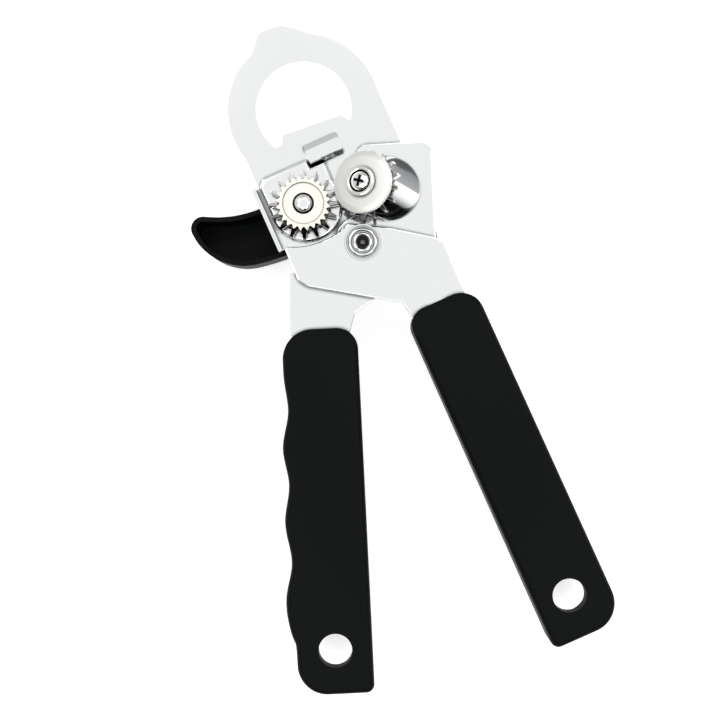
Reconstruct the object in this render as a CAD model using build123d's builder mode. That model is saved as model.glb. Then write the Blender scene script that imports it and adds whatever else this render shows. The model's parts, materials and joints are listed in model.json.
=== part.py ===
"""Manual can opener: two crossing steel arms with plastic grips, a bottle-opener loop,
a toothed feed wheel turned by a winged knob, and a tilted cutting disc with its gear.

Lengths are in millimetres. The arms pivot about a vertical axis, Z points out of the
front face, and the finished tool is moved so that the origin lies on the surface it
rests on, under the middle of its outline.
"""
from build123d import *
import os

# ---- driving dimensions -------------------------------------------------------------
FEED_ARM_ANGLE = 24.0        # turn of the right arm about the pivot
CUTTER_ARM_ANGLE = 2.8       # turn of the left arm about the pivot

ARM_SHEET = 1.6              # front plate and cutter arm
LOOP_SHEET = 1.2             # bottle-opener plate
WHEEL_SHEET = 1.6            # raised plate under the feed wheel
SHEET_GAP = 0.1              # running gap between two sheets
SEAT_GAP = 0.05              # gap of a piece seated by hand
TURN_GAP = 0.1               # radial running clearance of a turning piece
SHEET_ROUND = 0.4            # rolled-over edge of pressed sheet, on its front
WHEEL_PLATE_ROUND = 0.9
FINE_ROUND = 0.2

ARM_HALF_WIDTH = 22.2        # edge of both arms, from the arm's own axis
LOOP_R = 23.1
LOOP_X, LOOP_Y = 0.2, 44.4   # centre of the bottle-opener loop, up the right arm
LOOP_HOLE_R = 14.55
LIP_LEFT = (-8.7, 39.9)      # ends of the edge that catches the crown cap
LIP_RIGHT = (9.9, 38.3)
NOTCH_LEFT = (-10.4, 37.2)   # foot of the lip on each side
NOTCH_RIGHT = (11.3, 35.9)
NIB_TOP = 71.2
NIB_HALF_WIDTH = 4.4

FLANGE_Y = 17.9
FLANGE_LENGTH = 20.0
FLANGE_OUT = 2.3             # how far the flange stands out from the plate's left edge
STRAP_X = 0.6
STRAP_LENGTH = 10.6          # raised rib across the loop plate, open at both ends
STRAP_FOOT = 27.3            # where its steep lower flank starts
STRAP_LOW = 28.4
STRAP_HIGH = 32.1
STRAP_END = 34.4             # where its long upper flank ends

SHAFT_X, SHAFT_Y = -11.6, 17.3    # feed shaft in the right arm's own axes
SHAFT_R = 2.6
BUSH_R = 4.2
BUSH_FLANGE_R = 5.6
BUSH_FLANGE = 0.4
WHEEL_PLATE_R = 10.9
WHEEL_PLATE_TOP = 30.0
WHEEL_PLATE_RIGHT = -0.6

GEAR_TEETH = 16
DRIVE_TIP_R = 10.4
CUTTER_TIP_R = 10.2
DRIVE_ROOT_R = 7.6
CUTTER_ROOT_R = 7.2
TOOTH_TIP = 0.8
TOOTH_ROOT = 1.8
DRIVE_GEAR_THICK = 3.0
CUTTER_GEAR_THICK = 2.2
FEED_TEETH = 24
FEED_TIP_R = 8.0
FEED_ROOT_R = 7.1
FEED_THICK = 2.2
FEED_DISH_R = 6.2            # dished face inside the toothed rim
FEED_DISH = 0.6
FEED_RECESS_R = 3.2          # deeper well around the shaft's end
FEED_RECESS = 0.7
SHAFT_HEAD = 0.9

DISC_X, DISC_Y, DISC_Z = 0.7, 16.4, 11.4   # disc centre in the left arm's own axes
DISC_TILT = 24.0
DISC_LEAN = 172.0            # direction that the disc's axis leans towards
DISC_R = 8.8
DISC_THICK = 1.6
DISC_BEVEL = 1.6             # width and drop of the ground band at the disc's rim
DISC_DROP = 0.5
DISC_TO_GEAR = 4.2           # along the tilted axis, middle to middle
SLEEVE_R = 4.6
STUD_R = 2.4
CUP_R = 4.4
CUP_BORE_R = 3.1
CUP_HEIGHT = 1.3
SCREW_HEAD_R = 3.0
SCREW_HEAD = 1.5
SCREW_R = 1.25
SCREW_LENGTH = 5.0
CROSS_LENGTH = 3.2
CROSS_WIDTH = 0.8
CROSS_DEPTH = 1.0
CROSS_TURN = -10.0
STUD_WASHER = 0.4
STUD_WASHER_R = 5.2
BOSS_X, BOSS_Y = 9.9, 15.9
BOSS_BASE_R = 10.1
BOSS_SEAT_R = 8.0
PLATE_TOP = 29.8
PLATE_CORNER_R = 3.0

PIVOT_R = 3.0
PIVOT_HEAD_R = 4.3
PIVOT_HEAD = 1.0
PIVOT_HOLE_R = 2.0
PIVOT_HOLE_DEPTH = 2.2
PIVOT_BEAD_R = 2.8            # bead around the hole, with a groove outside it
PIVOT_GROOVE_R = 3.4
PIVOT_GROOVE = 0.4
PIVOT_EMBOSS_R = 5.4         # raised line on the front plate around the rivet
PIVOT_EMBOSS = 0.2
PIVOT_WASHER_R = 5.0
PIVOT_WASHER = 0.8
PIVOT_RING = 8.5             # round of the cutter arm about the pivot

GRIP_HALF_THICK = 6.5
GRIP_ROUND = 2.0
GRIP_TOP = -25.4
GRIP_BOTTOM = -134.4
HANG_HOLE_R = 5.0
HANG_HOLE_Y = -121.0
HANG_WEB = 3.5               # wall at the front around the hang hole
HANG_RECESS_R = 8.0
GRIP_BEVEL = 7.5             # length of the slope at the grip's top end
GRIP_BEVEL_DROP = 3.0
LEFT_HOLE_X = -14.0
RIGHT_HOLE_X = 13.2
TANG_END = -104.0
TANG_HALF_WIDTH = 8.0
TANG_FIT = 0.1
SPACER_R = 4.0
TANG_RIVET_R = 1.5
TANG_RIVET_HEAD_R = 2.6
TANG_RIVET_HEAD = 0.9
TANG_RIVET_YS = (-45.0, -88.0)

KNOB_RIM_Z = -7.5
KNOB_DEPTH = 13.0
KNOB_WALL = 1.5
KNOB_ROUND = 2.5
KNOB_HUB_R = 7.0
KNOB_HUB_TOP = -5.2
CORE_HALF = 4.2
CORE_HEIGHT = 8.0
FLAT_HALF = 1.9              # half of the square on the shaft's rear end
WAVE_R = 4.1
WAVE_THICK = 0.5
END_WASHER_R = 4.0
END_WASHER = 0.8

CUTTER_CLOCK = 18.2          # turn that sets the cutter gear's teeth between the drive gear's

# grip corners, each by its place and its radius
LEFT_GRIP_CORNERS = (
    (LEFT_HOLE_X - 11.6, GRIP_TOP, 9.0),
    (LEFT_HOLE_X + 11.1, GRIP_TOP, 6.5),
    (LEFT_HOLE_X + 11.1, GRIP_BOTTOM, 2.5),
    (LEFT_HOLE_X - 11.6, GRIP_BOTTOM, 9.0),
)
RIGHT_GRIP_CORNERS = (
    (RIGHT_HOLE_X - 10.6, GRIP_TOP, 6.0),
    (RIGHT_HOLE_X + 11.6, GRIP_TOP, 7.0),
    (RIGHT_HOLE_X + 12.4, GRIP_BOTTOM, 9.0),
    (RIGHT_HOLE_X - 10.6, GRIP_BOTTOM, 2.5),
)

# ---- levels, all from the sheets ----------------------------------------------------
CUTTER_TOP = ARM_SHEET / 2
CUTTER_BACK = -ARM_SHEET / 2
FRONT_BACK = CUTTER_TOP + SHEET_GAP
FRONT_TOP = FRONT_BACK + ARM_SHEET
LOOP_TOP = CUTTER_BACK - SHEET_GAP
LOOP_BACK = LOOP_TOP - LOOP_SHEET
WHEEL_TOP = LOOP_TOP + WHEEL_SHEET
STRAP_BACK = WHEEL_TOP + SHEET_GAP
STRAP_TOP = STRAP_BACK + LOOP_SHEET
THRUST_BACK = WHEEL_TOP + BUSH_FLANGE
THRUST_THICK = 0.4
DRIVE_BACK = THRUST_BACK + THRUST_THICK + SEAT_GAP
DRIVE_TOP = DRIVE_BACK + DRIVE_GEAR_THICK
FEED_TOP = DRIVE_TOP + FEED_THICK
KNOB_BACK_Z = KNOB_RIM_Z - KNOB_DEPTH
KNOB_FLOOR_Z = KNOB_BACK_Z + KNOB_WALL

# ---- planes -------------------------------------------------------------------------
FEED_ARM = Plane.XY.rotated((0, 0, FEED_ARM_ANGLE))
CUTTER_ARM = Plane.XY.rotated((0, 0, CUTTER_ARM_ANGLE))
SHAFT = Plane(FEED_ARM.location * Location((SHAFT_X, SHAFT_Y, 0)))
DISC = Plane(
    CUTTER_ARM.location
    * Location((DISC_X, DISC_Y, DISC_Z))
    * Location((0, 0, 0), (0, 0, DISC_LEAN))
    * Location((0, 0, 0), (0, DISC_TILT, 0))
)
GEAR_MID = -DISC_TO_GEAR
GEAR_BACK = GEAR_MID - CUTTER_GEAR_THICK / 2
GEAR_FRONT = GEAR_MID + CUTTER_GEAR_THICK / 2
DISC_BACK = -DISC_THICK / 2
DISC_FRONT = DISC_THICK / 2
SEAT = GEAR_BACK - SEAT_GAP - STUD_WASHER


def gear_blank(tip, root, teeth, tip_width, root_width):
    """Toothed outline in the open sketch: a root circle and straight-sided teeth."""
    Circle(root)
    with PolarLocations(0, teeth):
        inner = root - 0.4
        Polygon(
            (inner, -root_width / 2),
            (tip, -tip_width / 2),
            (tip, tip_width / 2),
            (inner, root_width / 2),
            align=None,
        )


def ring(plane, low, high, outer, inner):
    """Plain ring between two heights over a plane, in the open part."""
    with BuildSketch(plane.offset(low)) as profile:
        Circle(outer)
        Circle(inner, mode=Mode.SUBTRACT)
    extrude(profile.sketch, amount=high - low)


def round_rim(piece, level, radius):
    """Rounds all edges of the largest flat face of the open part at a height."""
    level_faces = piece.faces().filter_by_position(Axis.Z, level - 0.01, level + 0.01)
    fillet(level_faces.sort_by(SortBy.AREA)[-1].edges(), radius)


def left_grip_outline():
    """Outline of the left grip in the open sketch, with three finger grooves."""
    left = LEFT_HOLE_X - 11.6
    right = LEFT_HOLE_X + 11.1
    with BuildLine() as outline:
        top = Line((left, GRIP_TOP), (left, -38.0))
        side = Spline(
            top @ 1, (left + 0.8, -50.5), (left - 1.2, -60.5), (left + 0.1, -71.5),
            (left - 1.6, -82.5), (left - 0.2, -95.0), (left - 2.4, -106.0),
            (left - 0.6, -118.0), (left, -124.0),
            tangents=((0, -1), (0, -1)),
        )
        Polyline(side @ 1, (left, GRIP_BOTTOM), (right, GRIP_BOTTOM), (right, GRIP_TOP), top @ 0)
    make_face(outline.edges())


def right_grip_outline():
    """Outline of the right grip in the open sketch, with straight sides."""
    left = RIGHT_HOLE_X - 10.6
    right = RIGHT_HOLE_X + 11.6
    foot = RIGHT_HOLE_X + 12.4
    with BuildLine() as outline:
        Polyline(
            (left, GRIP_TOP), (left, GRIP_BOTTOM), (foot, GRIP_BOTTOM), (right, GRIP_TOP),
            (left, GRIP_TOP),
        )
    make_face(outline.edges())


def hang_hole(plane, x):
    """Cuts the hang hole through the open grip, with a wider recess behind its front wall."""
    grip_thick = 2 * GRIP_HALF_THICK
    for radius, depth in ((HANG_HOLE_R, grip_thick), (HANG_RECESS_R, grip_thick - HANG_WEB)):
        with BuildSketch(plane.offset(-GRIP_HALF_THICK)) as hole:
            with Locations((x, HANG_HOLE_Y)):
                Circle(radius)
        extrude(hole.sketch, amount=depth, mode=Mode.SUBTRACT)


def top_slope(plane):
    """Cuts the slope that thins the open grip towards its top end."""
    side = Plane(origin=plane.origin, x_dir=plane.y_dir, z_dir=plane.x_dir)
    with BuildSketch(side) as wedge:
        Polygon(
            (GRIP_TOP - GRIP_BEVEL, GRIP_HALF_THICK),
            (GRIP_TOP + GRIP_BEVEL, GRIP_HALF_THICK),
            (GRIP_TOP + GRIP_BEVEL, GRIP_HALF_THICK - 2 * GRIP_BEVEL_DROP),
            align=None,
        )
    extrude(wedge.sketch, amount=2 * ARM_HALF_WIDTH, both=True, mode=Mode.SUBTRACT)


def round_corners(plane, outline, corners):
    """Grip blank: the outline with its four corners rounded, as a solid of full thickness."""
    with BuildSketch(plane.offset(-GRIP_HALF_THICK)) as blank:
        outline()
        for x, y, radius in corners:
            fillet(blank.vertices().sort_by_distance((x, y))[0], radius)
    extrude(blank.sketch, amount=2 * GRIP_HALF_THICK)


# ---- right arm: front plate ---------------------------------------------------------
with BuildPart() as feed_arm_plate:
    with BuildSketch(FEED_ARM.offset(FRONT_BACK)):
        with BuildLine():
            cut = ThreePointArc((-21.4, 8.1), (-12.0, 5.3), (-1.7, 7.0))
            Polyline(
                cut @ 1, (9.2, 0.7), (20.4, -7.4), (ARM_HALF_WIDTH, -9.4), (ARM_HALF_WIDTH, -27.0),
                (RIGHT_HOLE_X + TANG_HALF_WIDTH, -30.0), (RIGHT_HOLE_X + TANG_HALF_WIDTH, TANG_END),
                (RIGHT_HOLE_X - TANG_HALF_WIDTH, TANG_END), (RIGHT_HOLE_X - TANG_HALF_WIDTH, -30.0),
                (4.4, -27.0), (3.6, -21.6), (-20.6, -5.4), (-22.4, -2.6), (-22.3, 7.6), cut @ 0,
            )
        make_face()
        Circle(PIVOT_R, mode=Mode.SUBTRACT)
        with Locations(*[(RIGHT_HOLE_X, y) for y in TANG_RIVET_YS]):
            Circle(TANG_RIVET_R, mode=Mode.SUBTRACT)
    extrude(amount=ARM_SHEET)
    round_rim(feed_arm_plate, FRONT_TOP, SHEET_ROUND)
    ring(Plane.XY, FRONT_TOP, FRONT_TOP + PIVOT_EMBOSS, PIVOT_EMBOSS_R, PIVOT_EMBOSS_R - 2 * PIVOT_EMBOSS)

# ---- right arm: bottle-opener plate behind ------------------------------------------
with BuildPart() as loop_plate:
    with BuildSketch(FEED_ARM.offset(LOOP_BACK)):
        with Locations((LOOP_X, LOOP_Y)):
            Circle(LOOP_R)
        with BuildLine():
            Polyline(
                (-22.0, LOOP_Y), (23.2, LOOP_Y), (23.0, 0.0), (21.4, -8.5), (21.4, -29.0),
                (RIGHT_HOLE_X + TANG_HALF_WIDTH, -30.0), (RIGHT_HOLE_X + TANG_HALF_WIDTH, TANG_END),
                (RIGHT_HOLE_X - TANG_HALF_WIDTH, TANG_END), (RIGHT_HOLE_X - TANG_HALF_WIDTH, -30.0),
                (5.2, -27.0), (4.4, -20.9), (-19.8, -4.6), (-21.4, -2.6), (-22.0, 7.6),
                (-22.0, LOOP_Y),
            )
        make_face()
        with BuildLine():
            rise = ThreePointArc((-9.6, 64.4), (-6.6, 67.0), (-NIB_HALF_WIDTH, NIB_TOP - 1.4))
            peak = ThreePointArc(rise @ 1, (-2.4, NIB_TOP - 0.1), (0.0, NIB_TOP))
            top = Line(peak @ 1, (NIB_HALF_WIDTH, NIB_TOP - 0.7))
            fall = ThreePointArc(top @ 1, (7.8, 67.9), (12.6, 63.4))
            Line(fall @ 1, rise @ 0)
        make_face()
        Circle(PIVOT_R, mode=Mode.SUBTRACT)
        with Locations((SHAFT_X, SHAFT_Y)):
            Circle(BUSH_R, mode=Mode.SUBTRACT)
        with Locations(*[(RIGHT_HOLE_X, y) for y in TANG_RIVET_YS]):
            Circle(TANG_RIVET_R, mode=Mode.SUBTRACT)
        with Locations((STRAP_X, STRAP_FOOT)):
            Rectangle(
                STRAP_LENGTH, STRAP_END - STRAP_FOOT,
                align=(Align.CENTER, Align.MIN), mode=Mode.SUBTRACT,
            )
    extrude(amount=LOOP_SHEET)
    with BuildSketch(FEED_ARM.offset(LOOP_BACK)) as mouth:
        with Locations((LOOP_X, LOOP_Y)):
            Circle(LOOP_HOLE_R)
        with BuildLine():
            Polyline(
                (-LOOP_R, NOTCH_LEFT[1]), NOTCH_LEFT, LIP_LEFT, LIP_RIGHT, NOTCH_RIGHT,
                (LOOP_R, NOTCH_RIGHT[1]), (LOOP_R, STRAP_FOOT), (-LOOP_R, STRAP_FOOT),
                (-LOOP_R, NOTCH_LEFT[1]),
            )
        make_face(mode=Mode.SUBTRACT)
    extrude(amount=LOOP_SHEET, mode=Mode.SUBTRACT)
    # rib raised beside the wheel plate, with a sloping flank on each long side
    rib_side = Plane(origin=FEED_ARM.origin, x_dir=FEED_ARM.y_dir, z_dir=FEED_ARM.x_dir)
    with BuildSketch(rib_side.offset(STRAP_X - STRAP_LENGTH / 2)) as rib:
        Polygon(
            (STRAP_FOOT, LOOP_BACK), (STRAP_FOOT, LOOP_TOP), (STRAP_LOW, STRAP_TOP),
            (STRAP_HIGH, STRAP_TOP), (STRAP_END, LOOP_TOP), (STRAP_END, LOOP_BACK),
            (STRAP_HIGH - LOOP_SHEET / 2, STRAP_BACK), (STRAP_LOW + LOOP_SHEET, STRAP_BACK),
            (STRAP_FOOT + LOOP_SHEET, LOOP_BACK),
            align=None,
        )
    extrude(rib.sketch, amount=STRAP_LENGTH)
    # side flange, bent towards the front beside the wheel plate
    with BuildSketch(FEED_ARM.offset(LOOP_BACK)):
        with Locations((-21.9, FLANGE_Y)):
            Rectangle(FLANGE_OUT, FLANGE_LENGTH, align=(Align.MAX, Align.CENTER))
    extrude(amount=LOOP_SHEET)
    with BuildSketch(FEED_ARM.offset(LOOP_BACK)):
        with Locations((-21.9 - FLANGE_OUT, FLANGE_Y)):
            Rectangle(LOOP_SHEET, FLANGE_LENGTH, align=(Align.MIN, Align.CENTER))
    extrude(amount=FRONT_TOP - LOOP_BACK)

# ---- right arm: wheel plate, notched around the end of the rib ----------------------
with BuildPart() as wheel_plate:
    with BuildSketch(FEED_ARM.offset(LOOP_TOP)):
        with Locations((SHAFT_X + 0.8, SHAFT_Y)):
            Circle(WHEEL_PLATE_R)
        with BuildLine():
            Polyline(
                (-21.6, SHAFT_Y - 3.0), (-21.6, 28.0), (-19.8, WHEEL_PLATE_TOP),
                (-5.2, WHEEL_PLATE_TOP), (-5.2, STRAP_FOOT - SHEET_GAP),
                (WHEEL_PLATE_RIGHT, STRAP_FOOT - SHEET_GAP), (WHEEL_PLATE_RIGHT, SHAFT_Y + 2.0),
                (-21.6, SHAFT_Y - 3.0),
            )
        make_face()
        with Locations((SHAFT_X, SHAFT_Y)):
            Circle(BUSH_R, mode=Mode.SUBTRACT)
    extrude(amount=WHEEL_SHEET)
    wheel_rim = wheel_plate.faces().sort_by(Axis.Z)[-1].outer_wire()
    fillet(wheel_rim.edges(), WHEEL_PLATE_ROUND)

with BuildPart() as shaft_bush:
    ring(SHAFT, LOOP_BACK, WHEEL_TOP, BUSH_R, SHAFT_R + TURN_GAP)
    ring(SHAFT, WHEEL_TOP, THRUST_BACK, BUSH_FLANGE_R, SHAFT_R + TURN_GAP)

# ---- right arm: spacer and rivets inside the grip -----------------------------------
with BuildPart() as tang_spacer:
    with BuildSketch(FEED_ARM.offset(LOOP_TOP)):
        with Locations((RIGHT_HOLE_X, (TANG_RIVET_YS[0] + TANG_RIVET_YS[1]) / 2)):
            Rectangle(2 * SPACER_R, TANG_RIVET_YS[0] - TANG_RIVET_YS[1] + 2 * SPACER_R)
        with Locations(*[(RIGHT_HOLE_X, y) for y in TANG_RIVET_YS]):
            Circle(TANG_RIVET_R, mode=Mode.SUBTRACT)
    extrude(amount=FRONT_BACK - LOOP_TOP)

with BuildPart() as tang_rivets:
    for height, size, length in (
        (LOOP_BACK, TANG_RIVET_R, FRONT_TOP - LOOP_BACK),
        (FRONT_TOP, TANG_RIVET_HEAD_R, TANG_RIVET_HEAD),
        (LOOP_BACK - TANG_RIVET_HEAD, TANG_RIVET_HEAD_R, TANG_RIVET_HEAD),
    ):
        with BuildSketch(FEED_ARM.offset(height)):
            with Locations(*[(RIGHT_HOLE_X, y) for y in TANG_RIVET_YS]):
                Circle(size)
        extrude(amount=length)

with BuildPart() as right_grip:
    round_corners(FEED_ARM, right_grip_outline, RIGHT_GRIP_CORNERS)
    rims = right_grip.faces().filter_by(Axis.Z)
    fillet(rims.edges(), GRIP_ROUND)
    hang_hole(FEED_ARM, RIGHT_HOLE_X)
    top_slope(FEED_ARM)
    # pocket for the two plates, with room for the rivet heads
    with BuildSketch(FEED_ARM.offset(LOOP_BACK - TANG_FIT)):
        with Locations((RIGHT_HOLE_X, TANG_END - TANG_FIT)):
            Rectangle(
                2 * (TANG_HALF_WIDTH + TANG_FIT), -29.0 - TANG_END,
                align=(Align.CENTER, Align.MIN),
            )
        with Locations((RIGHT_HOLE_X, -30.2)):
            Rectangle(2 * (ARM_HALF_WIDTH - RIGHT_HOLE_X + TANG_FIT), 8.0, align=(Align.CENTER, Align.MIN))
    extrude(amount=FRONT_TOP - LOOP_BACK + 2 * TANG_FIT, mode=Mode.SUBTRACT)
    with BuildSketch(FEED_ARM.offset(LOOP_BACK - TANG_RIVET_HEAD - TANG_FIT)):
        with Locations((RIGHT_HOLE_X, TANG_RIVET_YS[1] - TANG_RIVET_HEAD_R - TANG_FIT)):
            Rectangle(
                2 * (TANG_RIVET_HEAD_R + TANG_FIT), -20.0 - TANG_RIVET_YS[1],
                align=(Align.CENTER, Align.MIN),
            )
    extrude(amount=FRONT_TOP - LOOP_BACK + 2 * (TANG_RIVET_HEAD + TANG_FIT), mode=Mode.SUBTRACT)

# ---- pivot --------------------------------------------------------------------------
with BuildPart() as pivot_rivet:
    rivet_bottom = LOOP_BACK - PIVOT_WASHER
    with BuildSketch(Plane.XY.offset(rivet_bottom)):
        Circle(PIVOT_R - SEAT_GAP)
    extrude(amount=FRONT_TOP - rivet_bottom)
    with BuildSketch(Plane.XY.offset(FRONT_TOP)):
        Circle(PIVOT_HEAD_R)
    extrude(amount=PIVOT_HEAD)
    with BuildSketch(Plane.XY.offset(rivet_bottom - PIVOT_HEAD)):
        Circle(PIVOT_HEAD_R)
    extrude(amount=PIVOT_HEAD)
    with BuildSketch(Plane.XY.offset(FRONT_TOP + PIVOT_HEAD)):
        Circle(PIVOT_HOLE_R)
    extrude(amount=-PIVOT_HOLE_DEPTH, mode=Mode.SUBTRACT)
    with BuildSketch(Plane.XY.offset(FRONT_TOP + PIVOT_HEAD)):
        Circle(PIVOT_GROOVE_R)
        Circle(PIVOT_BEAD_R, mode=Mode.SUBTRACT)
    extrude(amount=-PIVOT_GROOVE, mode=Mode.SUBTRACT)
    rivet_top = FRONT_TOP + PIVOT_HEAD
    rivet_faces = pivot_rivet.faces().filter_by_position(Axis.Z, rivet_top - 0.01, rivet_top + 0.01)
    fillet(rivet_faces.edges(), FINE_ROUND)

with BuildPart() as pivot_washer:
    ring(Plane.XY, LOOP_BACK - PIVOT_WASHER, LOOP_BACK, PIVOT_WASHER_R, PIVOT_R)

# ---- left arm: cutter arm with its raised, tilted boss ------------------------------
with BuildPart() as cutter_arm_plate:
    with BuildSketch(CUTTER_ARM.offset(CUTTER_BACK)) as arm_outline:
        Circle(PIVOT_RING)
        with BuildLine():
            Polyline(
                (0.0, 0.0), (-0.4, 28.0), (1.6, PLATE_TOP), (ARM_HALF_WIDTH, PLATE_TOP),
                (ARM_HALF_WIDTH, -4.6), (-3.4, -21.2), (-4.9, -26.2),
                (LEFT_HOLE_X + TANG_HALF_WIDTH, -30.0), (LEFT_HOLE_X + TANG_HALF_WIDTH, TANG_END),
                (LEFT_HOLE_X - TANG_HALF_WIDTH, TANG_END), (LEFT_HOLE_X - TANG_HALF_WIDTH, -30.0),
                (-23.4, -27.0), (-22.4, -8.6), (-9.0, -3.0), (0.0, 0.0),
            )
        make_face()
        plate_corner = arm_outline.vertices().sort_by_distance((ARM_HALF_WIDTH, PLATE_TOP))[0]
        fillet(plate_corner, PLATE_CORNER_R)
    extrude(amount=ARM_SHEET)
    round_rim(cutter_arm_plate, CUTTER_TOP, SHEET_ROUND)
    with BuildSketch(CUTTER_ARM.offset(CUTTER_BACK)):
        with Locations((BOSS_X, BOSS_Y)):
            Circle(BOSS_BASE_R)
    with BuildSketch(DISC.offset(SEAT)):
        Circle(BOSS_SEAT_R)
    loft()
    with BuildSketch(CUTTER_ARM.offset(CUTTER_BACK - 0.01)):
        with Locations((BOSS_X, BOSS_Y)):
            Circle(BOSS_BASE_R - ARM_SHEET)
    with BuildSketch(DISC.offset(SEAT - ARM_SHEET)):
        Circle(BOSS_SEAT_R - ARM_SHEET)
    loft(mode=Mode.SUBTRACT)
    with BuildSketch(CUTTER_ARM.offset(CUTTER_BACK)):
        Circle(PIVOT_R + TURN_GAP)
    extrude(amount=ARM_SHEET, mode=Mode.SUBTRACT)
    with BuildSketch(DISC.offset(SEAT)):
        Circle(STUD_R)
    extrude(amount=-2 * ARM_SHEET, mode=Mode.SUBTRACT)

with BuildPart() as left_grip:
    round_corners(CUTTER_ARM, left_grip_outline, LEFT_GRIP_CORNERS)
    rims = left_grip.faces().filter_by(Axis.Z)
    fillet(rims.edges(), GRIP_ROUND)
    hang_hole(CUTTER_ARM, LEFT_HOLE_X)
    top_slope(CUTTER_ARM)
    with BuildSketch(CUTTER_ARM.offset(CUTTER_BACK - TANG_FIT)):
        with Locations((LEFT_HOLE_X, TANG_END - TANG_FIT)):
            Rectangle(
                2 * (TANG_HALF_WIDTH + TANG_FIT), -29.0 - TANG_END,
                align=(Align.CENTER, Align.MIN),
            )
        with Locations((LEFT_HOLE_X - 0.1, -30.2)):
            Rectangle(2 * (9.4 + TANG_FIT), 8.0, align=(Align.CENTER, Align.MIN))
    extrude(amount=ARM_SHEET + 2 * TANG_FIT, mode=Mode.SUBTRACT)

# ---- left arm: axle of the cutting disc ---------------------------------------------
with BuildPart() as cutter_stud:
    with BuildSketch(DISC.offset(SEAT - ARM_SHEET - 1.0)):
        Circle(STUD_R + 1.2)
    extrude(amount=1.0)
    with BuildSketch(DISC.offset(SEAT - ARM_SHEET)):
        Circle(STUD_R)
    extrude(amount=DISC_FRONT + SEAT_GAP - SEAT + ARM_SHEET)
    with BuildSketch(DISC.offset(DISC_FRONT + SEAT_GAP)):
        Circle(SCREW_R)
    extrude(amount=-SCREW_LENGTH - 0.5, mode=Mode.SUBTRACT)

with BuildPart() as stud_washer:
    ring(DISC, SEAT, SEAT + STUD_WASHER, STUD_WASHER_R, STUD_R)

with BuildPart() as cup_washer:
    cup_back = DISC_FRONT + SEAT_GAP
    ring(DISC, cup_back, cup_back + CUP_HEIGHT, CUP_R, CUP_BORE_R)
    ring(DISC, cup_back, cup_back + 0.4, CUP_BORE_R, SCREW_R)
    cup_rim = cup_washer.faces().sort_by(Axis(DISC.origin, DISC.z_dir))[-1]
    fillet(cup_rim.edges(), 2 * FINE_ROUND)

with BuildPart() as cutter_screw:
    seat_level = cup_back + 0.4
    with BuildSketch(DISC.offset(seat_level)):
        Circle(SCREW_HEAD_R)
    extrude(amount=SCREW_HEAD)
    head_rim = cutter_screw.faces().sort_by(Axis(DISC.origin, DISC.z_dir))[-1]
    fillet(head_rim.edges(), SCREW_HEAD / 2)
    with BuildSketch(DISC.offset(seat_level)):
        Circle(SCREW_R)
    extrude(amount=-SCREW_LENGTH)
    with BuildSketch(DISC.offset(seat_level + SCREW_HEAD)):
        for turn in (0, 90):
            Rectangle(CROSS_LENGTH, CROSS_WIDTH, rotation=turn + CROSS_TURN)
    extrude(amount=-CROSS_DEPTH, mode=Mode.SUBTRACT)

# ---- cutting wheel ------------------------------------------------------------------
with BuildPart() as cutting_disc:
    with BuildSketch(DISC.offset(DISC_BACK)) as blank:
        Circle(DISC_R)
    extrude(blank.sketch, amount=DISC_THICK - DISC_DROP)
    with BuildSketch(DISC.offset(DISC_FRONT - DISC_DROP)):
        Circle(DISC_R)
    with BuildSketch(DISC.offset(DISC_FRONT)):
        Circle(DISC_R - DISC_BEVEL)
    loft()
    with BuildSketch(DISC.offset(DISC_BACK)) as bore:
        Circle(STUD_R + TURN_GAP)
    extrude(bore.sketch, amount=DISC_THICK, mode=Mode.SUBTRACT)

with BuildPart() as gear_sleeve:
    ring(DISC, GEAR_FRONT, DISC_BACK, SLEEVE_R, STUD_R + TURN_GAP)

CUTTER_GEAR = Plane(DISC.location * Location((0, 0, GEAR_BACK), (0, 0, CUTTER_CLOCK)))
with BuildPart() as cutter_gear:
    with BuildSketch(CUTTER_GEAR):
        gear_blank(CUTTER_TIP_R, CUTTER_ROOT_R, GEAR_TEETH, TOOTH_TIP, TOOTH_ROOT)
        Circle(STUD_R + TURN_GAP, mode=Mode.SUBTRACT)
    extrude(amount=CUTTER_GEAR_THICK)

# ---- crank: shaft, drive gear, feed wheel and knob ----------------------------------
with BuildPart() as crank_shaft:
    with BuildSketch(SHAFT.offset(KNOB_HUB_TOP)):
        Circle(SHAFT_R)
    extrude(amount=FEED_TOP + SHAFT_HEAD - KNOB_HUB_TOP)
    dome = crank_shaft.faces().sort_by(Axis.Z)[-1]
    fillet(dome.edges(), SHAFT_HEAD * 0.8)
    with BuildSketch(SHAFT.offset(KNOB_HUB_TOP)):
        Rectangle(2 * FLAT_HALF, 2 * FLAT_HALF)
    extrude(amount=-CORE_HEIGHT - END_WASHER)
    with BuildSketch(SHAFT.offset(KNOB_HUB_TOP - CORE_HEIGHT - END_WASHER)):
        Circle(FLAT_HALF + 0.8)
    extrude(amount=-0.8)

with BuildPart() as thrust_washer:
    ring(SHAFT, THRUST_BACK, THRUST_BACK + THRUST_THICK, BUSH_FLANGE_R, SHAFT_R + SEAT_GAP)

with BuildPart() as drive_gear:
    with BuildSketch(SHAFT.offset(DRIVE_BACK)):
        gear_blank(DRIVE_TIP_R, DRIVE_ROOT_R, GEAR_TEETH, TOOTH_TIP, TOOTH_ROOT)
        Circle(SHAFT_R, mode=Mode.SUBTRACT)
    extrude(amount=DRIVE_GEAR_THICK)
    tooth_rims = drive_gear.faces().sort_by(Axis.Z)[-1].outer_wire().edges()
    chamfer(tooth_rims, FINE_ROUND)

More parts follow.
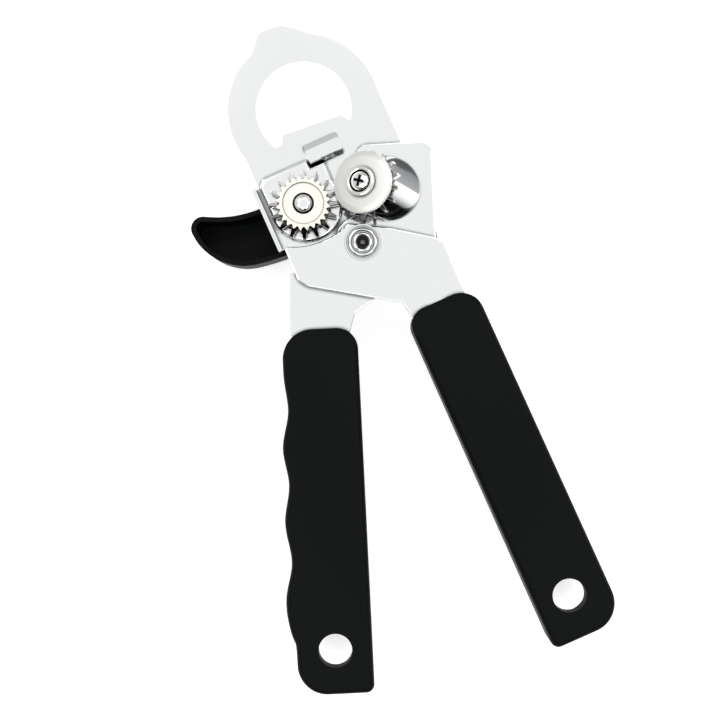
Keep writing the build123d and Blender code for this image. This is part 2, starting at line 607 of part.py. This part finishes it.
with BuildPart() as feed_wheel:
    with BuildSketch(SHAFT.offset(DRIVE_TOP)):
        gear_blank(FEED_TIP_R, FEED_ROOT_R, FEED_TEETH, 0.3, 1.9)
        Circle(SHAFT_R, mode=Mode.SUBTRACT)
    extrude(amount=FEED_THICK)
    for radius, depth in ((FEED_DISH_R, FEED_DISH), (FEED_RECESS_R, FEED_DISH + FEED_RECESS)):
        with BuildSketch(SHAFT.offset(FEED_TOP)) as dish:
            Circle(radius)
        extrude(dish.sketch, amount=-depth, mode=Mode.SUBTRACT)
    dish_rim = feed_wheel.edges().filter_by(GeomType.CIRCLE).group_by(Axis.Z)[-1]
    fillet(dish_rim, FINE_ROUND)

with BuildPart() as knob_spring_washer:
    ring(SHAFT, KNOB_HUB_TOP, KNOB_HUB_TOP + WAVE_THICK, WAVE_R, SHAFT_R + SEAT_GAP)


def knob_outline():
    """S-shaped outline of the knob in the open sketch, the same after half a turn."""
    with BuildLine() as outline:
        for side in (1, -1):
            neck = ThreePointArc((0.0, -11.6 * side), (14.4 * side, -0.4 * side), (31.4 * side, 2.0 * side))
            tip = TangentArc(neck @ 1, (35.2 * side, 7.4 * side), tangent=neck % 1)
            bulge = TangentArc(tip @ 1, (15.0 * side, 16.8 * side), tangent=tip % 1)
            TangentArc(bulge @ 1, (0.0, 11.6 * side), tangent=bulge % 1)
    make_face(outline.edges())


KNOB = Plane(Location(SHAFT.origin))
with BuildPart() as knob_shell:
    with BuildSketch(KNOB.offset(KNOB_BACK_Z)):
        knob_outline()
    extrude(amount=KNOB_DEPTH)
    fillet(knob_shell.faces().sort_by(Axis.Z)[0].edges(), KNOB_ROUND)
    with BuildSketch(KNOB.offset(KNOB_FLOOR_Z)):
        knob_outline()
        offset(amount=-KNOB_WALL)
    extrude(amount=KNOB_DEPTH, mode=Mode.SUBTRACT)
    hub_base = KNOB_FLOOR_Z - KNOB_WALL / 5
    with BuildSketch(KNOB.offset(hub_base)):
        Circle(KNOB_HUB_R)
    extrude(amount=KNOB_HUB_TOP - hub_base)
    with BuildSketch(SHAFT.offset(KNOB_HUB_TOP)):
        Rectangle(2 * CORE_HALF, 2 * CORE_HALF)
    extrude(amount=-CORE_HEIGHT, mode=Mode.SUBTRACT)
    with BuildSketch(SHAFT.offset(KNOB_HUB_TOP)):
        Circle(END_WASHER_R)
    extrude(amount=-CORE_HEIGHT - END_WASHER - 1.0, mode=Mode.SUBTRACT)

with BuildPart() as knob_core:
    with BuildSketch(SHAFT.offset(KNOB_HUB_TOP)):
        Rectangle(2 * CORE_HALF, 2 * CORE_HALF)
        Rectangle(2 * FLAT_HALF, 2 * FLAT_HALF, mode=Mode.SUBTRACT)
    extrude(amount=-CORE_HEIGHT)

with BuildPart() as shaft_end_washer:
    with BuildSketch(SHAFT.offset(KNOB_HUB_TOP - CORE_HEIGHT)):
        Circle(END_WASHER_R)
        Rectangle(2 * FLAT_HALF, 2 * FLAT_HALF, mode=Mode.SUBTRACT)
    extrude(amount=-END_WASHER)

# ---- the finished tool, put on the surface it rests on ------------------------------
pieces = {
    "feed_arm_plate": feed_arm_plate,
    "loop_plate": loop_plate,
    "wheel_plate": wheel_plate,
    "shaft_bush": shaft_bush,
    "tang_spacer": tang_spacer,
    "tang_rivets": tang_rivets,
    "right_grip": right_grip,
    "pivot_rivet": pivot_rivet,
    "pivot_washer": pivot_washer,
    "cutter_arm_plate": cutter_arm_plate,
    "left_grip": left_grip,
    "cutter_stud": cutter_stud,
    "stud_washer": stud_washer,
    "cup_washer": cup_washer,
    "cutter_screw": cutter_screw,
    "cutting_disc": cutting_disc,
    "gear_sleeve": gear_sleeve,
    "cutter_gear": cutter_gear,
    "crank_shaft": crank_shaft,
    "thrust_washer": thrust_washer,
    "drive_gear": drive_gear,
    "feed_wheel": feed_wheel,
    "knob_spring_washer": knob_spring_washer,
    "knob_shell": knob_shell,
    "knob_core": knob_core,
    "shaft_end_washer": shaft_end_washer,
}
boxes = [piece.part.bounding_box() for piece in pieces.values()]
middle_x = (min(box.min.X for box in boxes) + max(box.max.X for box in boxes)) / 2
middle_y = (min(box.min.Y for box in boxes) + max(box.max.Y for box in boxes)) / 2
TO_SURFACE = Location((-middle_x, -middle_y, -min(box.min.Z for box in boxes)))

os.makedirs("parts", exist_ok=True)
for name, piece in pieces.items():
    finished = piece.part.moved(TO_SURFACE)
    finished.label = name
    export_step(finished, f"parts/{name}.step")

for name, plane in (("pivot", Plane.XY), ("shaft", SHAFT), ("disc", DISC)):
    place = TO_SURFACE * plane.location
    direction = Plane(place).z_dir
    print(name, place.position, direction)
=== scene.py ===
"""Manual can opener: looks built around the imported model, in metres, in its frame."""
import json
import math

import bmesh
import bpy
from mathutils import Matrix, Vector


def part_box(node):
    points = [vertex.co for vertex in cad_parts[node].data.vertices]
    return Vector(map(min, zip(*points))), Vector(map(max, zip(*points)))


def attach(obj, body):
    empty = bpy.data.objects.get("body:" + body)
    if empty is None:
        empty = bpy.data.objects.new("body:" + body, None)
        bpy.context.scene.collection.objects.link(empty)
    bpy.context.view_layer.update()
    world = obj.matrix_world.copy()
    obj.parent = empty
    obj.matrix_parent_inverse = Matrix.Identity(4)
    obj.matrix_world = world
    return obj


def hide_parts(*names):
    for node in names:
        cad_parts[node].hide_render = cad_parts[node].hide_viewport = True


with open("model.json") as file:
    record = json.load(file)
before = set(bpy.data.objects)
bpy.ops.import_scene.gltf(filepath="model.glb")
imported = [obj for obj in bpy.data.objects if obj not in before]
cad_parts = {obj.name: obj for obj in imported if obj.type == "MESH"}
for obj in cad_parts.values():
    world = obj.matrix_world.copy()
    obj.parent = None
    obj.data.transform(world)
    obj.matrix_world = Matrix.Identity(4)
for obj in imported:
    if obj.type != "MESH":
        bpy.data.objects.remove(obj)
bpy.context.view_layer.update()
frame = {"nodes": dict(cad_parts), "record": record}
MM = 0.001

# ---- materials ----------------------------------------------------------------------


def linear(code):
    """sRGB hex colour, such as "#EEF0F0", as a linear RGBA value."""
    channels = [int(code[i:i + 2], 16) / 255 for i in (1, 3, 5)]
    return [c / 12.92 if c <= 0.04045 else ((c + 0.055) / 1.055) ** 2.4 for c in channels] + [1.0]


def add_node(tree, kind, settings=None, values=None, links=None):
    """Adds one node with its settings, socket values and incoming links."""
    node = tree.nodes.new(kind)
    for name, value in (settings or {}).items():
        setattr(node, name, value)
    for socket, value in (values or {}).items():
        node.inputs[socket].default_value = value
    for socket, source in (links or {}).items():
        tree.links.new(source, node.inputs[socket])
    return node


def new_material(name):
    """Material whose node tree holds only what the caller adds."""
    material = bpy.data.materials.new(name)
    material.use_nodes = True
    material.node_tree.nodes.clear()
    return material, material.node_tree


def finish_surface(tree, surface):
    add_node(tree, "ShaderNodeOutputMaterial", links={"Surface": surface.outputs["BSDF"]})


def fine_relief(tree, grain, height, detail=2.0):
    """Bump of evenly scattered grain: its size and height in millimetres."""
    place = add_node(tree, "ShaderNodeTexCoord")
    noise = add_node(
        tree, "ShaderNodeTexNoise",
        values={"Scale": 1 / (grain * MM), "Detail": detail},
        links={"Vector": place.outputs["Object"]},
    )
    return add_node(
        tree, "ShaderNodeBump",
        values={"Strength": 1.0, "Distance": height * MM},
        links={"Height": noise.outputs["Fac"]},
    )


def laid_over(tree, amount, under, over):
    """Colour under a second one, which covers it by an amount from 0 to 1."""
    mix = add_node(tree, "ShaderNodeMix", settings={"data_type": "RGBA"})
    factor, first, second = mix.inputs[0], mix.inputs[6], mix.inputs[7]
    tree.links.new(amount, factor)
    tree.links.new(under, first)
    if isinstance(over, list):
        second.default_value = over
    else:
        tree.links.new(over, second)
    return mix.outputs[2]


def painted_shade_downwards(tree, colour, lit_y, black_y):
    """Colour that turns to painted shade, black, from one Y of the opener down to another, in
    millimetres.
    """
    place = add_node(tree, "ShaderNodeTexCoord")
    split = add_node(tree, "ShaderNodeSeparateXYZ", links={"Vector": place.outputs["Object"]})
    amount = add_node(
        tree, "ShaderNodeMapRange",
        values={"From Min": lit_y * MM, "From Max": black_y * MM},
        links={"Value": split.outputs["Y"]},
    )
    return laid_over(tree, amount.outputs["Result"], colour, PAINTED_SHADE_BLACK)


# the raised boss in the opener's own axes, in millimetres
BOSS_MIDDLE = (-5.4, 50.5)
BOSS_REACH = 10.0
BOSS_BASE_Z = 21.4
BOSS_REFLECTION_DIRECTION = (0.35, 0.94, 0.0)   # up the opener and a little to the right
# tone of the painted reflection along that direction, from one side of the boss to the other
BOSS_PAINTED_REFLECTION = (
    (0.0, "#0C0C0D"), (0.32, "#18191A"), (0.44, "#C8CACA"),
    (0.61, "#F2F4F4"), (0.64, "#8E9092"), (1.0, "#505254"),
)


def painted_reflection_on_boss(tree, colour):
    """Colour with a painted reflection on the boss: black below, a bright band, grey above."""
    place = add_node(tree, "ShaderNodeTexCoord")
    split = add_node(tree, "ShaderNodeSeparateXYZ", links={"Vector": place.outputs["Object"]})
    across = add_node(
        tree, "ShaderNodeVectorMath", settings={"operation": "DOT_PRODUCT"},
        links={"Vector": place.outputs["Object"]},
    )
    across.inputs[1].default_value = BOSS_REFLECTION_DIRECTION
    height = BOSS_REFLECTION_DIRECTION[0] * BOSS_MIDDLE[0] + BOSS_REFLECTION_DIRECTION[1] * BOSS_MIDDLE[1]
    along = add_node(
        tree, "ShaderNodeMapRange",
        values={"From Min": (height - BOSS_REACH) * MM, "From Max": (height + BOSS_REACH) * MM},
        links={"Value": across.outputs["Value"]},
    )
    reflection_ramp = add_node(tree, "ShaderNodeValToRGB", links={"Fac": along.outputs["Result"]})
    while len(reflection_ramp.color_ramp.elements) < len(BOSS_PAINTED_REFLECTION):
        reflection_ramp.color_ramp.elements.new(0.5)
    for element, (position, tone) in zip(reflection_ramp.color_ramp.elements, BOSS_PAINTED_REFLECTION):
        element.position = position
        element.color = linear(tone)
    raised = add_node(
        tree, "ShaderNodeMapRange",
        values={"From Min": (BOSS_BASE_Z + 0.15) * MM, "From Max": (BOSS_BASE_Z + 0.6) * MM},
        links={"Value": split.outputs["Z"]},
    )
    return laid_over(tree, raised.outputs["Result"], colour, reflection_ramp.outputs["Color"])


def metal(name, colour, roughness, grain, height, reach=1.6, unshaded_from=0.86, shade_span=None, boss=False):
    """Metal of one finish over a fine relief, with painted shade in gaps within the reach.

    It is unshaded where more than a share of the surroundings is open. Painted shade can also
    darken it downwards between two heights, or a painted reflection can lie over the boss.
    """
    material, tree = new_material(name)
    relief = fine_relief(tree, grain, height)
    openness = add_node(
        tree, "ShaderNodeAmbientOcclusion", settings={"samples": 12}, values={"Distance": reach * MM},
    )
    shade_ramp = add_node(tree, "ShaderNodeValToRGB", links={"Fac": openness.outputs["AO"]})
    shade_ramp.color_ramp.elements[0].position = unshaded_from / 2
    shade_ramp.color_ramp.elements[0].color = PAINTED_SHADE_BLACK
    shade_ramp.color_ramp.elements[1].position = unshaded_from
    shade_ramp.color_ramp.elements[1].color = linear(colour)
    tone = shade_ramp.outputs["Color"]
    if shade_span:
        tone = painted_shade_downwards(tree, tone, *shade_span)
    if boss:
        tone = painted_reflection_on_boss(tree, tone)
    surface = add_node(
        tree, "ShaderNodeBsdfPrincipled",
        values={"Metallic": 1.0, "Roughness": roughness},
        links={"Normal": relief.outputs["Normal"], "Base Color": tone},
    )
    finish_surface(tree, surface)
    return material


def moulded_plastic(name, colour, roughness, sheen):
    """Matt plastic with the fine grain of a spark-eroded mould."""
    material, tree = new_material(name)
    relief = fine_relief(tree, 0.35, 0.012, detail=3.0)
    surface = add_node(
        tree, "ShaderNodeBsdfPrincipled",
        values={"Base Color": linear(colour), "Roughness": roughness, "Specular IOR Level": sheen},
        links={"Normal": relief.outputs["Normal"]},
    )
    finish_surface(tree, surface)
    return material


# painted shade: the near black laid into narrow gaps and on the low sides of the metals
PAINTED_SHADE_BLACK = linear("#0C0C0D")
GEAR_SHADE_SPAN = (49.5, 39.0)   # painted shade: unshaded above the first height, black at the second

# every metal below has painted shade in its narrow gaps
# near white, with dark lines where an edge rolls over
BRIGHT_CHROME = metal("bright_chrome_plate", "#F4F6F6", 0.09, 9.0, 0.006)
# the same chrome with a painted reflection, black below and grey above, on the raised boss
CHROME_WITH_BOSS_REFLECTION = metal("bright_chrome_with_painted_boss_reflection", "#F4F6F6", 0.09, 9.0, 0.006, boss=True)
# painted shade gives dark rings and a dark dimple in the head of the pivot
RIVET_CHROME = metal("bright_chrome_rivet", "#EEF0F0", 0.12, 2.0, 0.004, reach=3.5, unshaded_from=0.98)
# greenish grey satin that shows no clear reflection
GROUND_STEEL = metal("satin_ground_cutter_steel", "#DEDFDA", 0.42, 0.4, 0.004)
# cream tone that sets the feed wheel apart from the chrome
WARM_NICKEL = metal("warm_matt_nickel", "#F3EEE3", 0.34, 0.5, 0.006)
# bright teeth with painted shade, black on their low side
SINTERED_STEEL = metal(
    "sintered_gear_steel", "#E4E4E2", 0.14, 0.6, 0.006, reach=1.2, unshaded_from=0.7,
    shade_span=GEAR_SHADE_SPAN,
)
# hard sparkle of the screw and its cup
BRIGHT_ZINC = metal("bright_zinc", "#EFEFEC", 0.12, 3.0, 0.004)
# pieces half hidden behind the plates
TURNED_STEEL = metal("turned_plain_steel", "#A9AAAB", 0.3, 0.5, 0.004)
# the black cross in the screw's head: painted shade for its recess
PAINTED_SHADE_CROSS = moulded_plastic("painted_shade_cross_black", "#060606", 0.5, 0.1)
# deep black with a cool soft sheen on its rounded rims
BLACK_PLASTIC = moulded_plastic("moulded_black_plastic", "#0B0D0E", 0.46, 0.06)

# ---- softened and turned pieces that stand for nodes --------------------------------


SHARP = math.radians(32.0)   # an edge that bends more than this is rounded


def home_of(node):
    """Body and material slot that the record gives a node."""
    bodies = frame["record"]["behaviour"]["bodies"]
    body = next(name for name, nodes in bodies.items() if node in nodes)
    slot = next(part["material_slot"] for part in frame["record"]["subparts"] if part["node"] == node)
    return body, slot


def joined_copy(node):
    """Mesh of a node with its seams joined and its triangles paired."""
    source = frame["nodes"][node]
    shape = bmesh.new()
    shape.from_mesh(source.data)
    bmesh.ops.transform(shape, matrix=source.matrix_world, verts=shape.verts)
    bmesh.ops.remove_doubles(shape, verts=shape.verts, dist=0.002 * MM)
    bmesh.ops.join_triangles(
        shape, faces=shape.faces, angle_face_threshold=math.radians(0.5),
        angle_shape_threshold=math.radians(150.0),
    )
    return shape


def stand_for(piece, node):
    """The piece is shown in place of the node, which is hidden, and moves as the node does."""
    body, slot = home_of(node)
    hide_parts(node)
    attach(piece, body)


def softened_piece(name, node, width, segments, material):
    """Softened piece that stands for a node: the node's shape with its sharp edges rounded."""
    shape = joined_copy(node)
    for face in shape.faces:
        face.smooth = True
    mesh = bpy.data.meshes.new(name)
    shape.to_mesh(mesh)
    shape.free()
    mesh.set_sharp_from_angle(angle=SHARP)
    mesh.materials.append(material)
    piece = bpy.data.objects.new(name, mesh)
    bpy.context.scene.collection.objects.link(piece)
    rounding = piece.modifiers.new("rounded_edges", "BEVEL")
    rounding.width = width * MM
    rounding.segments = segments
    rounding.limit_method = "ANGLE"
    rounding.angle_limit = SHARP
    rounding.harden_normals = True
    stand_for(piece, node)


def joint_place(name):
    """Matrix with its origin on a joint and its Z along the joint's axis, in metres."""
    joint = next(j for j in frame["record"]["behaviour"]["joints"] if j["name"] == name)
    turn = Vector(joint["axis"]).normalized().to_track_quat("Z", "Y").to_matrix().to_4x4()
    return Matrix.Translation(joint["pos_m"]) @ turn


def turned_piece(name, node, joint, profile, material, closed=False):
    """Round piece spun about a joint's axis from (radius, height) points in millimetres."""
    shape = bmesh.new()
    points = [shape.verts.new((radius * MM, 0.0, height * MM)) for radius, height in profile]
    edges = [shape.edges.new(pair) for pair in zip(points, points[1:])]
    if closed:
        edges.append(shape.edges.new((points[-1], points[0])))
    bmesh.ops.spin(
        shape, geom=points + edges, axis=(0, 0, 1), cent=(0, 0, 0), angle=math.tau,
        steps=96, use_merge=True,
    )
    bmesh.ops.remove_doubles(shape, verts=shape.verts, dist=0.001 * MM)
    bmesh.ops.recalc_face_normals(shape, faces=shape.faces)
    bmesh.ops.transform(shape, matrix=joint_place(joint), verts=shape.verts)
    for face in shape.faces:
        face.smooth = True
    mesh = bpy.data.meshes.new(name)
    shape.to_mesh(mesh)
    shape.free()
    mesh.set_sharp_from_angle(angle=SHARP)
    mesh.materials.append(material)
    piece = bpy.data.objects.new(name, mesh)
    bpy.context.scene.collection.objects.link(piece)
    stand_for(piece, node)
    return piece


# radius and height of each corner, from the joint of the piece
RIVET_PROFILE = (
    (0.0, 1.3), (0.7, 1.5), (1.3, 2.0), (1.9, 2.9), (2.05, 3.3), (2.3, 3.48), (2.55, 3.48),
    (2.78, 3.36), (2.85, 3.1), (3.3, 3.1), (3.42, 3.3), (3.6, 3.46), (3.85, 3.5), (4.1, 3.42),
    (4.26, 3.2), (4.3, 2.9), (4.3, 2.5), (2.95, 2.5), (2.95, -2.9), (4.3, -2.9), (4.3, -3.9),
    (0.0, -3.9),
)
DISC_PROFILE = (
    (2.5, -0.8), (8.95, -0.8), (9.1, -0.65), (9.1, 0.2), (9.02, 0.31), (7.62, 0.77), (7.4, 0.8),
    (2.5, 0.8),
)
CUP_PROFILE = (
    (1.25, 0.85), (4.3, 0.85), (4.4, 0.95), (4.4, 1.75), (4.25, 2.05), (4.0, 2.15), (3.6, 2.15),
    (3.3, 2.02), (3.12, 1.75), (3.1, 1.25), (1.25, 1.25),
)
SCREW_PROFILE = (
    (0.0, 2.75), (1.3, 2.74), (2.0, 2.62), (2.5, 2.38), (2.8, 2.02), (2.97, 1.6), (3.0, 1.25),
    (1.25, 1.25), (1.25, -3.7), (0.0, -3.7),
)
SHAFT_PROFILE = (
    (0.0, 7.65), (1.2, 7.6), (1.9, 7.42), (2.35, 7.1), (2.56, 6.7), (2.6, 6.3), (2.6, -5.2),
    (1.85, -5.2), (1.85, -14.0), (2.7, -14.0), (2.7, -14.8), (0.0, -14.8),
)
turned_piece("pivot_rivet_head", "pivot_rivet", "arm_pivot", RIVET_PROFILE, RIVET_CHROME)
turned_piece(
    "cutting_wheel_disc", "cutting_disc", "cutter_spin", DISC_PROFILE, GROUND_STEEL, closed=True,
)
turned_piece("screw_cup", "cup_washer", "cutter_spin", CUP_PROFILE, BRIGHT_ZINC, closed=True)
turned_piece("wheel_shaft", "crank_shaft", "crank_turn", SHAFT_PROFILE, BRIGHT_CHROME)


CROSS_LENGTH, CROSS_WIDTH, CROSS_DEPTH = 3.3, 0.85, 0.06
CROSS_HEIGHT = 2.74   # above the disc's own middle
CROSS_TURNS = (80.0, 170.0)


def cross_recess(screw):
    """Thin dark cross laid into the top of the screw, as part of it: painted shade for a cross
    recess.
    """
    shape = bmesh.new()
    shape.from_mesh(screw.data)
    place = joint_place("cutter_spin") @ Matrix.Translation((0.0, 0.0, CROSS_HEIGHT * MM))
    size = Matrix.Diagonal((CROSS_LENGTH * MM, CROSS_WIDTH * MM, CROSS_DEPTH * MM, 1.0))
    for turn in CROSS_TURNS:
        spot = place @ Matrix.Rotation(math.radians(turn), 4, "Z")
        made = bmesh.ops.create_cube(shape, size=1.0, matrix=spot @ size)
        for face in {face for vert in made["verts"] for face in vert.link_faces}:
            face.material_index = 1
    shape.to_mesh(screw.data)
    shape.free()
    screw.data.materials.append(PAINTED_SHADE_CROSS)


screw = turned_piece("cross_head_screw", "cutter_screw", "cutter_spin", SCREW_PROFILE, BRIGHT_ZINC)
cross_recess(screw)

# name of the piece, its node, rounding in millimetres, steps round the edge, material
SOFTENED = (
    ("upper_gear", "cutter_gear", 0.2, 2, SINTERED_STEEL),
    ("left_handle_grip", "left_grip", 0.8, 3, BLACK_PLASTIC),
    ("right_handle_grip", "right_grip", 0.8, 3, BLACK_PLASTIC),
    ("winged_knob", "knob_shell", 0.3, 3, BLACK_PLASTIC),
)
for name, node, width, segments, material in SOFTENED:
    softened_piece(name, node, width, segments, material)

# nodes whose own shape is shown, by material; all others are plain turned steel
SHOWN_AS_IS = {
    "feed_arm_plate": BRIGHT_CHROME,
    "loop_plate": BRIGHT_CHROME,
    "wheel_plate": BRIGHT_CHROME,
    "cutter_arm_plate": CHROME_WITH_BOSS_REFLECTION,
    "feed_wheel": WARM_NICKEL,
    "drive_gear": SINTERED_STEEL,
    "gear_sleeve": SINTERED_STEEL,
}
for name, node in frame["nodes"].items():
    node.data.materials.clear()
    node.data.materials.append(SHOWN_AS_IS.get(name, TURNED_STEEL))

# ---- floor, light and camera --------------------------------------------------------


def floor():
    """Pale floor that gives a little light of its own."""
    mesh = bpy.data.meshes.new("floor")
    shape = bmesh.new()
    bmesh.ops.create_grid(shape, x_segments=1, y_segments=1, size=2.0)
    shape.to_mesh(mesh)
    shape.free()
    material, tree = new_material("pale_paper")
    finish_surface(
        tree,
        add_node(
            tree, "ShaderNodeBsdfPrincipled",
            values={
                "Base Color": linear("#F6F6F6"), "Roughness": 0.9,
                "Emission Color": linear("#FFFFFF"), "Emission Strength": 0.5,
            },
        ),
    )
    mesh.materials.append(material)
    obj = bpy.data.objects.new("floor", mesh)
    bpy.context.scene.collection.objects.link(obj)


def studio_sky():
    """White overhead; the walls are bright at both sides, grey behind and black in front."""
    world = bpy.data.worlds.new("studio")
    world.use_nodes = True
    tree = world.node_tree
    tree.nodes.clear()
    place = add_node(tree, "ShaderNodeTexCoord")
    axes = add_node(tree, "ShaderNodeSeparateXYZ", links={"Vector": place.outputs["Generated"]})
    across = add_node(
        tree, "ShaderNodeMath", settings={"operation": "ABSOLUTE"}, links={0: axes.outputs["X"]},
    )
    sides = add_node(
        tree, "ShaderNodeMath", settings={"operation": "MULTIPLY_ADD"},
        values={1: 0.62, 2: 0.14}, links={0: across.outputs[0]},
    )
    wall = add_node(
        tree, "ShaderNodeMath", settings={"operation": "MULTIPLY_ADD", "use_clamp": True},
        values={1: 0.34}, links={0: axes.outputs["Y"], 2: sides.outputs[0]},
    )
    height = add_node(
        tree, "ShaderNodeMapRange", settings={"interpolation_type": "SMOOTHSTEP"},
        values={"From Min": 0.6, "From Max": 0.94, "To Min": 0.0, "To Max": 1.0},
        links={"Value": axes.outputs["Z"]},
    )
    tone = add_node(
        tree, "ShaderNodeMix", settings={"data_type": "FLOAT"}, values={"B": 0.93},
        links={"Factor": height.outputs[0], "A": wall.outputs[0]},
    )
    light = add_node(
        tree, "ShaderNodeBackground", values={"Strength": 1.0}, links={"Color": tone.outputs[0]},
    )
    add_node(tree, "ShaderNodeOutputWorld", links={"Surface": light.outputs["Background"]})
    bpy.context.scene.world = world


def soft_box(name, place, size, power):
    """Square lamp, in metres and watts, turned to the middle of the floor."""
    lamp = bpy.data.lights.new(name, "AREA")
    lamp.shape = "SQUARE"
    lamp.size = size
    lamp.energy = power
    obj = bpy.data.objects.new(name, lamp)
    bpy.context.scene.collection.objects.link(obj)
    obj.location = place
    obj.rotation_euler = Vector(place).to_track_quat("Z", "Y").to_euler()


CAMERA_SHIFT = (-0.8, -35.4)   # from the pivot, in millimetres
CAMERA_HEIGHT = 300.0          # above the front plate


def camera():
    """Camera that looks straight down on the opener from near its pivot."""
    lens = bpy.data.cameras.new("camera")
    lens.lens = 50.0
    lens.sensor_width = 36.0
    obj = bpy.data.objects.new("camera", lens)
    bpy.context.scene.collection.objects.link(obj)
    pivot_low, pivot_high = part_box("pivot_rivet")
    pivot = (pivot_low + pivot_high) / 2
    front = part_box("feed_arm_plate")[1].z
    obj.location = (
        pivot.x + CAMERA_SHIFT[0] * MM, pivot.y + CAMERA_SHIFT[1] * MM, front + CAMERA_HEIGHT * MM,
    )
    bpy.context.scene.camera = obj


BOX_COUNT = 6
BOX_DISTANCE = 0.9
BOX_ELEVATION = math.radians(56.0)
BOX_FIRST_TURN = 15.0
BOX_SIZE = 0.3
BOX_POWER = 0.8

floor()
studio_sky()
for index in range(BOX_COUNT):
    turn = math.radians(360 / BOX_COUNT * index + BOX_FIRST_TURN)
    across = BOX_DISTANCE * math.cos(BOX_ELEVATION)
    height = BOX_DISTANCE * math.sin(BOX_ELEVATION)
    place = (across * math.cos(turn), across * math.sin(turn), height)
    soft_box(f"soft_box_{index}", place, BOX_SIZE, BOX_POWER)
camera()
bpy.context.scene.view_settings.view_transform = "Standard"
